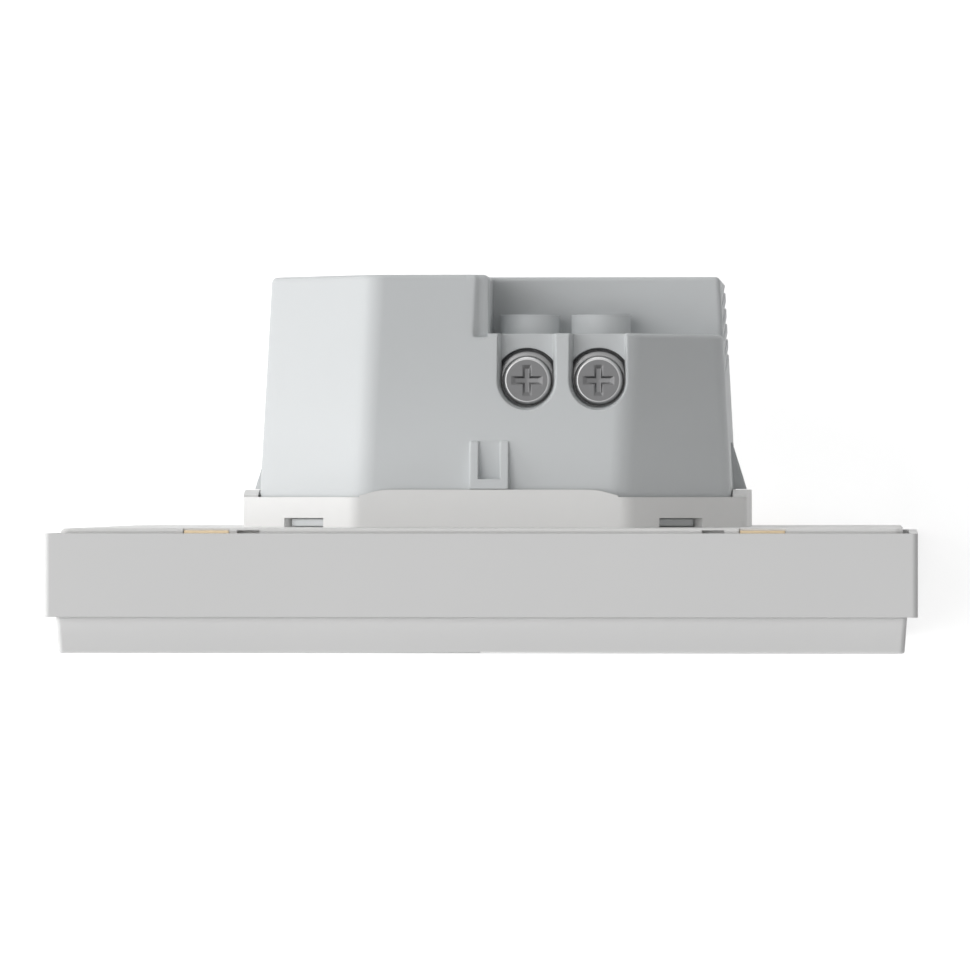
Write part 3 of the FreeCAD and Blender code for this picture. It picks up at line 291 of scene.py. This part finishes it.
FINISHES = {
    # The gains 1.08 on the white plastic and 1.18 on the housing are painted highlights on their edges.
    "white_plastic": moulded("white_plastic", (0.835, 0.835, 0.832), 0.48, 0.003 * MM, painted_light=1.08),
    "base_plastic": moulded("base_plastic", (0.865, 0.862, 0.852), 0.50, 0.003 * MM),
    "housing_plastic": moulded(
        "housing_plastic", (0.67, 0.69, 0.698), 0.55, 0.004 * MM, edge=0.25 * MM, painted_light=1.18, rail=True
    ),
    "spacer_plastic": moulded("spacer_plastic", (0.90, 0.89, 0.86), 0.5, 0.003 * MM),
    "stem_plastic": moulded("stem_plastic", (0.72, 0.70, 0.66), 0.45, 0.002 * MM),
    "component_black": moulded("component_black", (0.06, 0.06, 0.065), 0.5, 0.004 * MM),
    "relay_blue": moulded("relay_blue", (0.10, 0.24, 0.50), 0.4, 0.003 * MM),
    "capacitor_yellow": moulded("capacitor_yellow", (0.80, 0.66, 0.16), 0.45, 0.003 * MM),
    "varistor_blue": moulded("varistor_blue", (0.12, 0.26, 0.56), 0.3, 0.004 * MM),
    "fuse_grey": moulded("fuse_grey", (0.42, 0.52, 0.46), 0.5, 0.005 * MM),
    "winding_amber": moulded("winding_amber", (0.75, 0.50, 0.14), 0.35, 0.003 * MM),
    "led_white": moulded("led_white", (0.95, 0.94, 0.80), 0.25, 0.001 * MM),
    "clear_plastic": clear("clear_plastic", (0.92, 0.93, 0.92)),
    "screw_steel": plated("screw_steel", (0.55, 0.55, 0.56), 0.32),
    # The terminal steel's second colour is a painted highlight and painted light, laid on the screws by
    # their point attribute.
    "terminal_steel": turned_steel("terminal_steel", (0.145, 0.145, 0.147), (0.45, 0.45, 0.45)),
    "terminal_brass": plated("terminal_brass", (0.72, 0.60, 0.34), 0.3),
    # The terminal blocks' steel is made dark as painted shade for the gap round the screws' washers.
    "block_steel": plated("block_steel", (0.16, 0.16, 0.165), 0.4),
    "spring_brass": plated("spring_brass", (0.60, 0.49, 0.34), 0.45),
    "shield_tin": plated("shield_tin", (0.72, 0.72, 0.72), 0.25),
    "board_green": board_mask("board_green", (0.10, 0.30, 0.16)),
    "board_blue": board_mask("board_blue", (0.06, 0.16, 0.36)),
}


def dress_nodes():
    """Give every CAD node the finish of its slot."""
    for row in frame["record"]["subparts"]:
        node = frame["nodes"][row["node"]]
        node.data.materials.clear()
        node.data.materials.append(FINISHES[row["material_slot"]])


def sheet_faces(rows, columns):
    """Quads between neighbours of a grid of points, whose last column joins its first."""
    index = np.arange(rows * columns).reshape(rows, columns)
    index = np.concatenate([index, index[:, :1]], axis=1)
    corners = (index[:-1, :-1], index[:-1, 1:], index[1:, 1:], index[1:, :-1])
    return np.stack([corner.ravel() for corner in corners], axis=1)


def outward(points, quads, triangles):
    """The faces turned so that they point out: the sum of a . (b x c) over them is positive."""
    halves = np.concatenate([quads[:, :3], quads[:, [2, 3, 0]], triangles])
    first, second, third = (points[halves[:, corner]] for corner in range(3))
    if np.einsum("ij,ij->", first, np.cross(second, third)) < 0:
        return quads[:, ::-1], triangles[:, ::-1]
    return quads, triangles


def add_piece(name, points, quads, triangles, body, slot, stands_for=()):
    """A new closed piece from arrays: points in metres, and the corners of its faces."""
    quads, triangles = outward(points, quads, triangles)
    mesh = bpy.data.meshes.new(name)
    mesh.from_pydata(points.tolist(), [], quads.tolist() + triangles.tolist())
    mesh.shade_smooth()
    mesh.materials.append(FINISHES[slot])
    piece = bpy.data.objects.new(name, mesh)
    bpy.context.scene.collection.objects.link(piece)
    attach(piece, body)
    if stands_for:
        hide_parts(*stands_for)
    return piece


def ring_grid(across, up, levels, centre, axis):
    """Points in rings: row k lies at levels[k] along the axis, at (across, up) round it."""
    points = np.empty(np.broadcast_shapes(across.shape, levels.shape) + (3,))
    sides = [side for side in range(3) if side != axis]
    points[..., sides[0]] = centre[sides[0]] + across
    points[..., sides[1]] = centre[sides[1]] + up
    points[..., axis] = centre[axis] + levels
    return points


def turned(radii, levels, centre, axis, steps=64):
    """A turned form: the point at angle a of ring k is centre + radii[k] * (cos a, sin a)."""
    angle = np.linspace(0, 2 * np.pi, steps, endpoint=False)
    radii = np.asarray(radii, float)
    radii = radii[:, None] if radii.ndim == 1 else radii
    levels = np.asarray(levels, float)
    levels = levels[:, None] if levels.ndim == 1 else levels
    return ring_grid(radii * np.cos(angle), radii * np.sin(angle), levels, centre, axis)


def capped(grid):
    """Rings closed by a pole at each end: the points, the quads between rings, the poles' triangles."""
    rows, columns = grid.shape[:2]
    poles = np.array([grid[0].mean(axis=0), grid[-1].mean(axis=0)])
    here = np.arange(columns)
    after = np.roll(here, -1)
    first, last = np.full(columns, rows * columns), np.full(columns, rows * columns + 1)
    far = (rows - 1) * columns
    start = np.stack([first, after, here], axis=1)
    end = np.stack([last, far + here, far + after], axis=1)
    points = np.concatenate([grid.reshape(-1, 3), poles])
    return points, sheet_faces(rows, columns), np.concatenate([start, end])


def joined(grids):
    """Several capped grids as one set of arrays, each form's numbers counted on from the last."""
    forms = [capped(grid) for grid in grids]
    counts = np.cumsum([0] + [len(points) for points, _, _ in forms])
    return tuple(
        np.concatenate([form[part] + (count if part else 0) for form, count in zip(forms, counts)])
        for part in range(3)
    )


def middle(node):
    """The middle of a node's box."""
    low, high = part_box(node)
    return [(start + end) / 2 for start, end in zip(low, high)]


def thread_radius(levels, crest, root, pitch, steps):
    """Radius of a thread: root + (crest - root) * |2 f - 1|, f being turns along less turn round."""
    round_turn = np.linspace(0, 1, steps, endpoint=False)
    turns = np.mod(levels[:, None] / pitch - round_turn, 1)
    return root + (crest - root) * np.abs(2 * turns - 1)


# The terminal screws: radii and heights of the head, washer and thread, counts of rings and
# steps round, the head's side below its rim, and the cross recess.
SCREW_FLAT = 2.06 * MM
SCREW_RIM = 2.37 * MM
SCREW_RIM_DROP = 0.2 * MM
SCREW_SIDE = 2.48 * MM
SCREW_WASHER = 2.98 * MM
SCREW_HEAD_TALL = 1.5 * MM
SCREW_WASHER_TALL = 0.5 * MM
SCREW_CREST = 1.72 * MM
SCREW_ROOT = 1.42 * MM
SCREW_TIP = 0.8 * MM
SCREW_TIP_LONG = 0.85 * MM
SCREW_PITCH = 0.6 * MM
SCREW_STEPS = 128
SCREW_FACE_RINGS = 64
SCREW_RIM_RINGS = 8
SCREW_THREAD_RINGS = 10
SCREW_POLE = 0.02 * MM
SCREW_BEND = math.radians(62)
SCREW_SOFT = 0.06 * MM
SCREW_SIDE_IN = np.array([0.05, 0.01, 0.0, 0.0, 0.04]) * MM
SCREW_SIDE_AT = np.array([-0.36, -0.48, -0.6, -1.46, -1.5]) * MM
# Share of the painted light on the head's side and the washer, which lifts their shade.
SIDE_HIGHLIGHT = 0.45
CROSS_REACH = 1.58 * MM
CROSS_HALF = 0.42 * MM
CROSS_WALL = 0.20 * MM
CROSS_END = 0.4 * MM
CROSS_DEEP = 0.2 * MM
CROSS_RIM_SHARE = 0.75
CROSS_CONE_SHARE = 0.5

# The round capacitor's profile, as shares of its height and of its radius.
CAN_HEIGHTS = np.array([0.0, 0.0, 0.03, 0.10, 0.13, 0.16, 0.19,
                        0.24, 0.96, 0.99, 1.0, 1.0, 0.985, 0.985])
CAN_RADII = np.array([0.05, 0.93, 0.99, 1.0, 0.95, 0.90, 0.95,
                      1.0, 1.0, 0.98, 0.93, 0.84, 0.82, 0.05])

DISC_RINGS = 33

# The fuse resistor's profile, as shares of its length and of its radius.
FUSE_WAIST = 0.80
FUSE_BULGES = (0.16, 0.84)
FUSE_BULGE_LONG = 0.11
FUSE_END_STEEP = 18
FUSE_END_LEAST = 0.04
FUSE_RINGS = 49

# The supply coil's turns, from the front face of the coil's node.
COIL_TURNS = 26
COIL_ROWS_PER_TURN = 6
COIL_STEPS = 96
COIL_SQUARENESS = 0.3
COIL_HALF_X = 4.35 * MM
COIL_HALF_Z = 5.22 * MM
COIL_START = 3.0 * MM
COIL_END = 9.5 * MM
COIL_RIDGE = 0.12 * MM

# The solder cones on the power board.
SOLDER_FOOT = 0.5 * MM
SOLDER_PIN = 0.25 * MM
SOLDER_TALL = 0.9 * MM
SOLDER_RINGS = 9
SOLDER_STEPS = 24


def cross_depth(across, up):
    """Depth of the cross recess: in each arm the least of a side slope and an end slope, at most 1.

    The deeper of the two arms holds, and a cone at the middle adds a little more.
    """
    arms = []
    for side, length in ((np.abs(across), np.abs(up)), (np.abs(up), np.abs(across))):
        slope = np.minimum((CROSS_HALF - side) / CROSS_WALL, (CROSS_REACH - length) / CROSS_END)
        arms.append(np.clip(slope, 0, 1))
    nearness = np.clip(1 - np.hypot(across, up) / CROSS_REACH, 0, 1)
    return CROSS_DEEP * np.maximum(*arms) * (CROSS_RIM_SHARE + CROSS_CONE_SHARE * nearness)


def terminal_screw_grid(low, high):
    """A terminal screw from its top down: crossed face, rolled rim, side, washer, thread, tip."""
    steps, soft = SCREW_STEPS, SCREW_SOFT
    centre = ((low[0] + high[0]) / 2, (low[1] + high[1]) / 2, high[2])
    face_r = np.linspace(SCREW_POLE, SCREW_FLAT, SCREW_FACE_RINGS)
    bend = np.linspace(0, SCREW_BEND, SCREW_RIM_RINGS + 1)[1:]
    rim_r = SCREW_FLAT + (SCREW_RIM - SCREW_FLAT) * np.sin(bend) / math.sin(SCREW_BEND)
    rim_l = -SCREW_RIM_DROP * (1 - np.cos(bend)) / (1 - math.cos(SCREW_BEND))
    side_r = SCREW_SIDE - SCREW_SIDE_IN
    shoulder = -SCREW_HEAD_TALL
    foot = shoulder - SCREW_WASHER_TALL
    washer_r = np.array([SCREW_SIDE + soft, SCREW_WASHER - soft, SCREW_WASHER, SCREW_WASHER,
                         SCREW_WASHER - soft, SCREW_CREST])
    washer_l = np.array([shoulder, shoulder, shoulder - soft, foot + soft, foot, foot])
    end = low[2] - high[2]
    shank_end = end + SCREW_TIP_LONG
    shank_l = np.arange(foot - soft / 3, shank_end, -SCREW_PITCH / SCREW_THREAD_RINGS)
    shank_r = thread_radius(shank_l, SCREW_CREST, SCREW_ROOT, SCREW_PITCH, steps)
    tip_r = np.array([SCREW_ROOT, SCREW_TIP, SCREW_TIP, SCREW_TIP - soft, SCREW_TIP / 2])
    tip_l = np.array([shank_end, shank_end, end + soft, end, end])
    plain_r = np.concatenate([face_r, rim_r, side_r, washer_r])
    levels = np.concatenate([0 * face_r, rim_l, SCREW_SIDE_AT, washer_l, shank_l, tip_l])
    radii = np.concatenate([np.tile(plain_r[:, None], steps), shank_r, np.tile(tip_r[:, None], steps)])
    grid = turned(radii, levels, centre, 2, steps)
    rim_start = len(face_r)
    rim_end = rim_start + len(rim_r)
    face = grid[:rim_start]
    face[..., 2] -= cross_depth(face[..., 0] - centre[0], face[..., 1] - centre[1])
    # Painted highlight: full on the rolled rim, a share of it as painted light on the side and washer,
    # none elsewhere.
    highlight_share = np.zeros(grid.shape[:2])
    highlight_share[rim_start:rim_end] = 1
    highlight_share[rim_end : len(plain_r)] = SIDE_HIGHLIGHT
    return grid, highlight_share


def add_terminal_screws():
    """The two terminal screws, which turn with their clamps."""
    for name in ("line", "load"):
        node = "terminal_screw_" + name
        grid, highlight_share = terminal_screw_grid(*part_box(node))
        body = name + "_screw"
        piece = add_piece("crossed_screw_" + name, *capped(grid), body, "terminal_steel", [node])
        # The shares of the painted highlight go on the points as an attribute.
        painted_light = piece.data.attributes.new("highlight_share", "FLOAT", "POINT")
        painted_light.data.foreach_set("value", np.append(highlight_share.ravel(), [0, 0]))


def add_capacitor_can():
    """The round capacitor: a turned can with a rolled groove near its foot and a scored top."""
    low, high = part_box("bulk_capacitor")
    radius, tall = (high[0] - low[0]) / 2, high[1] - low[1]
    centre = middle("bulk_capacitor")
    grid = turned(CAN_RADII * radius, CAN_HEIGHTS * tall, (centre[0], low[1], centre[2]), 1)
    add_piece("capacitor_can", *capped(grid), "base", "component_black", ["bulk_capacitor"])


def add_varistor_disc():
    """The dipped disc: half thickness = most * (1 - (r / R) ** 4) ** 0.5, turned about Z."""
    low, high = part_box("varistor")
    radius, half = (high[0] - low[0]) / 2, (high[2] - low[2]) / 2
    swing = np.linspace(-0.5 * np.pi, 0.5 * np.pi, DISC_RINGS)[1:-1]
    radii = radius * np.cos(swing) ** 0.5
    grid = turned(radii, half * np.sin(swing), middle("varistor"), 2)
    add_piece("dipped_disc", *capped(grid), "base", "varistor_blue", ["varistor"])


def add_fuse_barrel():
    """The standing fuse resistor: a barrel whose two ends bulge over its caps.

    Radius = waist + (1 - waist) * exp(-((s - b) / long) ** 2), summed over the bulges b, with
    both ends drawn in by a square root.
    """
    low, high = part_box("fuse_resistor")
    radius, tall = (high[0] - low[0]) / 2, high[1] - low[1]
    share = np.linspace(0, 1, FUSE_RINGS)
    humps = sum(np.exp(-(((share - place) / FUSE_BULGE_LONG) ** 2)) for place in FUSE_BULGES)
    bulge = FUSE_WAIST + (1 - FUSE_WAIST) * humps
    bulge *= np.clip(np.minimum(share, 1 - share) * FUSE_END_STEEP, FUSE_END_LEAST, 1) ** 0.5
    centre = middle("fuse_resistor")
    grid = turned(np.minimum(bulge, 1) * radius, share * tall, (centre[0], low[1], centre[2]), 1)
    add_piece("fuse_barrel", *capped(grid), "base", "fuse_grey", ["fuse_resistor"])


def add_coil_winding():
    """The supply coil's turns: rings of a rounded rectangle, with a ridge for each turn.

    A ring is x = a * |cos| ** q, z = b * |sin| ** q with their signs, and the ridge adds
    |sin(pi * turns * s)| to a and b at share s of the length.
    """
    low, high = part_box("transformer")
    centre = middle("transformer")
    share = np.linspace(0, 1, COIL_TURNS * COIL_ROWS_PER_TURN + 1)
    angle = np.linspace(0, 2 * np.pi, COIL_STEPS, endpoint=False)
    ridge = (COIL_RIDGE * np.abs(np.sin(np.pi * share * COIL_TURNS)))[:, None]
    ridge[0] = ridge[-1] = 0
    across = (COIL_HALF_X + ridge) * np.sign(np.cos(angle)) * np.abs(np.cos(angle)) ** COIL_SQUARENESS
    up = (COIL_HALF_Z + ridge) * np.sign(np.sin(angle)) * np.abs(np.sin(angle)) ** COIL_SQUARENESS
    levels = (COIL_START + share * (COIL_END - COIL_START))[:, None]
    grid = ring_grid(across, up, levels, (centre[0], low[1], centre[2]), 1)
    add_piece("coil_winding", *capped(grid), "base", "winding_amber")


# Each row: a node on the power board, and where its pins stand in its box as shares of X and Z.
SOLDERED = (
    ("relay", ((0.08, 0.25), (0.08, 0.75), (0.92, 0.2), (0.92, 0.5), (0.92, 0.8))),
    ("transformer", ((0.12, 0.12), (0.88, 0.12), (0.12, 0.88), (0.88, 0.88))),
    ("bulk_capacitor", ((0.5, 0.3), (0.5, 0.7))),
    ("filter_capacitor", ((0.5, 0.12), (0.5, 0.88))),
    ("varistor", ((0.25, 0.5), (0.75, 0.5))),
    ("fuse_resistor", ((0.5, 0.5),)),
)


def add_solder_joints():
    """Solder cones on the front of the power board: radius = foot * (1 - h) ** 2 + pin, h 0 to 1."""
    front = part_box("power_board")[0][1]
    share = np.linspace(0, 1, SOLDER_RINGS)
    radii = np.append(SOLDER_FOOT * (1 - share) ** 2 + SOLDER_PIN, SOLDER_PIN / 2)
    levels = np.append(-SOLDER_TALL * share, -SOLDER_TALL)
    grids = []
    for node, places in SOLDERED:
        low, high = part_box(node)
        for across, up in places:
            centre = (low[0] + across * (high[0] - low[0]), front, low[2] + up * (high[2] - low[2]))
            grids.append(turned(radii, levels, centre, 1, SOLDER_STEPS))
    add_piece("solder_joints", *joined(grids), "base", "shield_tin")


# The camera looks down the wall onto the top edge, from a little right of the middle.
CAMERA_PLACE = Vector((41.596, 3.755, 839.627)) * MM
CAMERA_YAW = math.radians(2.9505)
CAMERA_PITCH = math.radians(0.0378)
CAMERA_LENS = 301.43
CAMERA_SENSOR = 36.0
CAMERA_NEAR = 0.01
CAMERA_FAR = 20.0


def add_camera():
    """Camera at the photograph's viewing angle, with +Y upright in the picture."""
    forward = Vector((
        -math.sin(CAMERA_YAW) * math.cos(CAMERA_PITCH),
        math.sin(CAMERA_PITCH),
        -math.cos(CAMERA_YAW) * math.cos(CAMERA_PITCH),
    ))
    right = forward.cross(Vector((0, 1, 0))).normalized()
    upright = right.cross(forward)
    turn = Matrix((right, upright, -forward)).transposed().to_4x4()
    data = bpy.data.cameras.new("photo_camera")
    data.lens = CAMERA_LENS
    data.sensor_width = CAMERA_SENSOR
    data.clip_start = CAMERA_NEAR
    data.clip_end = CAMERA_FAR
    camera = bpy.data.objects.new("photo_camera", data)
    camera.matrix_world = Matrix.Translation(CAMERA_PLACE) @ turn
    bpy.context.scene.collection.objects.link(camera)
    bpy.context.scene.camera = camera


# Each row: a lamp's name, place, side length, and the tone that it gives to white facing it.
LAMPS = (
    ("top_lamp", (-0.88, 0.10, 1.46), 1.5, 0.47),
    ("left_lamp", (-1.80, 0.10, 0.26), 1.1, 0.55),
    ("right_lamp", (1.40, 0.10, 0.0), 1.0, 0.03),
    ("front_lamp", (-0.15, -1.40, 0.0), 1.0, 0.48),
    ("back_lamp", (-0.15, 1.40, 0.0), 1.0, 0.29),
)
LAMP_AIM = Vector((0, 0.004, 0))
AMBIENT = 0.19


def add_lamp(name, place, size, tone):
    """A soft square lamp, turned to the object: power = tone * pi ** 2 * distance ** 2."""
    place = Vector(place)
    away = place - LAMP_AIM
    data = bpy.data.lights.new(name, "AREA")
    data.shape = "SQUARE"
    data.size = size
    data.energy = tone * math.pi ** 2 * away.length_squared
    lamp = bpy.data.objects.new(name, data)
    lamp.location = place
    lamp.rotation_euler = away.to_track_quat("Z", "Y").to_euler()
    bpy.context.scene.collection.objects.link(lamp)


def seen_factor(tree):
    """1 for rays from the camera, a mirror or clear plastic, 0 for the rest."""
    path = tree.nodes.new("ShaderNodeLightPath")
    glossy = tree.nodes.new("ShaderNodeMath")
    glossy.operation = "MAXIMUM"
    tree.links.new(path.outputs["Is Camera Ray"], glossy.inputs[0])
    tree.links.new(path.outputs["Is Glossy Ray"], glossy.inputs[1])
    passed = tree.nodes.new("ShaderNodeMath")
    passed.operation = "MAXIMUM"
    tree.links.new(glossy.outputs[0], passed.inputs[0])
    tree.links.new(path.outputs["Is Transmission Ray"], passed.inputs[1])
    return passed.outputs[0]


def add_surround():
    """A world that lights the object evenly and shows as white behind it."""
    world = bpy.data.worlds.new("studio")
    world.use_nodes = True
    bpy.context.scene.world = world
    tree = world.node_tree
    tree.nodes.clear()
    output = tree.nodes.new("ShaderNodeOutputWorld")
    mix = tree.nodes.new("ShaderNodeMixShader")
    for number, strength in ((1, AMBIENT), (2, 1.0)):
        light = tree.nodes.new("ShaderNodeBackground")
        light.inputs["Color"].default_value = (1, 1, 1, 1)
        light.inputs["Strength"].default_value = strength
        tree.links.new(light.outputs[0], mix.inputs[number])
    tree.links.new(seen_factor(tree), mix.inputs[0])
    tree.links.new(mix.outputs[0], output.inputs["Surface"])


FLOOR_HALF = 0.9
FLOOR_GAP = 0.05 * MM
FLOOR_TONE = 0.8
FLOOR_GLOW = 0.70


def add_floor():
    """A plain pale floor under the frame's bottom edge, which looks white and keeps a faint shadow."""
    level = CAD_BOX[0][2] - FLOOR_GAP
    signs = ((-1, -1), (1, -1), (1, 1), (-1, 1))
    corners = [(x * FLOOR_HALF, y * FLOOR_HALF, level) for x, y in signs]
    mesh = bpy.data.meshes.new("studio_floor")
    mesh.from_pydata(corners, [], [(0, 1, 2, 3)])
    floor = bpy.data.objects.new("studio_floor", mesh)
    bpy.context.scene.collection.objects.link(floor)
    material = bpy.data.materials.new("studio_floor")
    material.use_nodes = True
    tree = material.node_tree
    tree.nodes.clear()
    output = tree.nodes.new("ShaderNodeOutputMaterial")
    plain = tree.nodes.new("ShaderNodeBsdfDiffuse")
    plain.inputs["Color"].default_value = (FLOOR_TONE, FLOOR_TONE, FLOOR_TONE, 1)
    glow = tree.nodes.new("ShaderNodeEmission")
    glow.inputs["Color"].default_value = (1, 1, 1, 1)
    glow.inputs["Strength"].default_value = FLOOR_GLOW
    both = tree.nodes.new("ShaderNodeAddShader")
    tree.links.new(plain.outputs[0], both.inputs[0])
    tree.links.new(glow.outputs[0], both.inputs[1])
    mix = tree.nodes.new("ShaderNodeMixShader")
    tree.links.new(seen_factor(tree), mix.inputs[0])
    tree.links.new(plain.outputs[0], mix.inputs[1])
    tree.links.new(both.outputs[0], mix.inputs[2])
    tree.links.new(mix.outputs[0], output.inputs["Surface"])
    mesh.materials.append(material)


dress_nodes()
add_terminal_screws()
add_capacitor_can()
add_varistor_disc()
add_fuse_barrel()
add_coil_winding()
add_solder_joints()
add_camera()
add_surround()
for lamp_row in LAMPS:
    add_lamp(*lamp_row)
add_floor()
bpy.context.scene.view_settings.view_transform = "Standard"
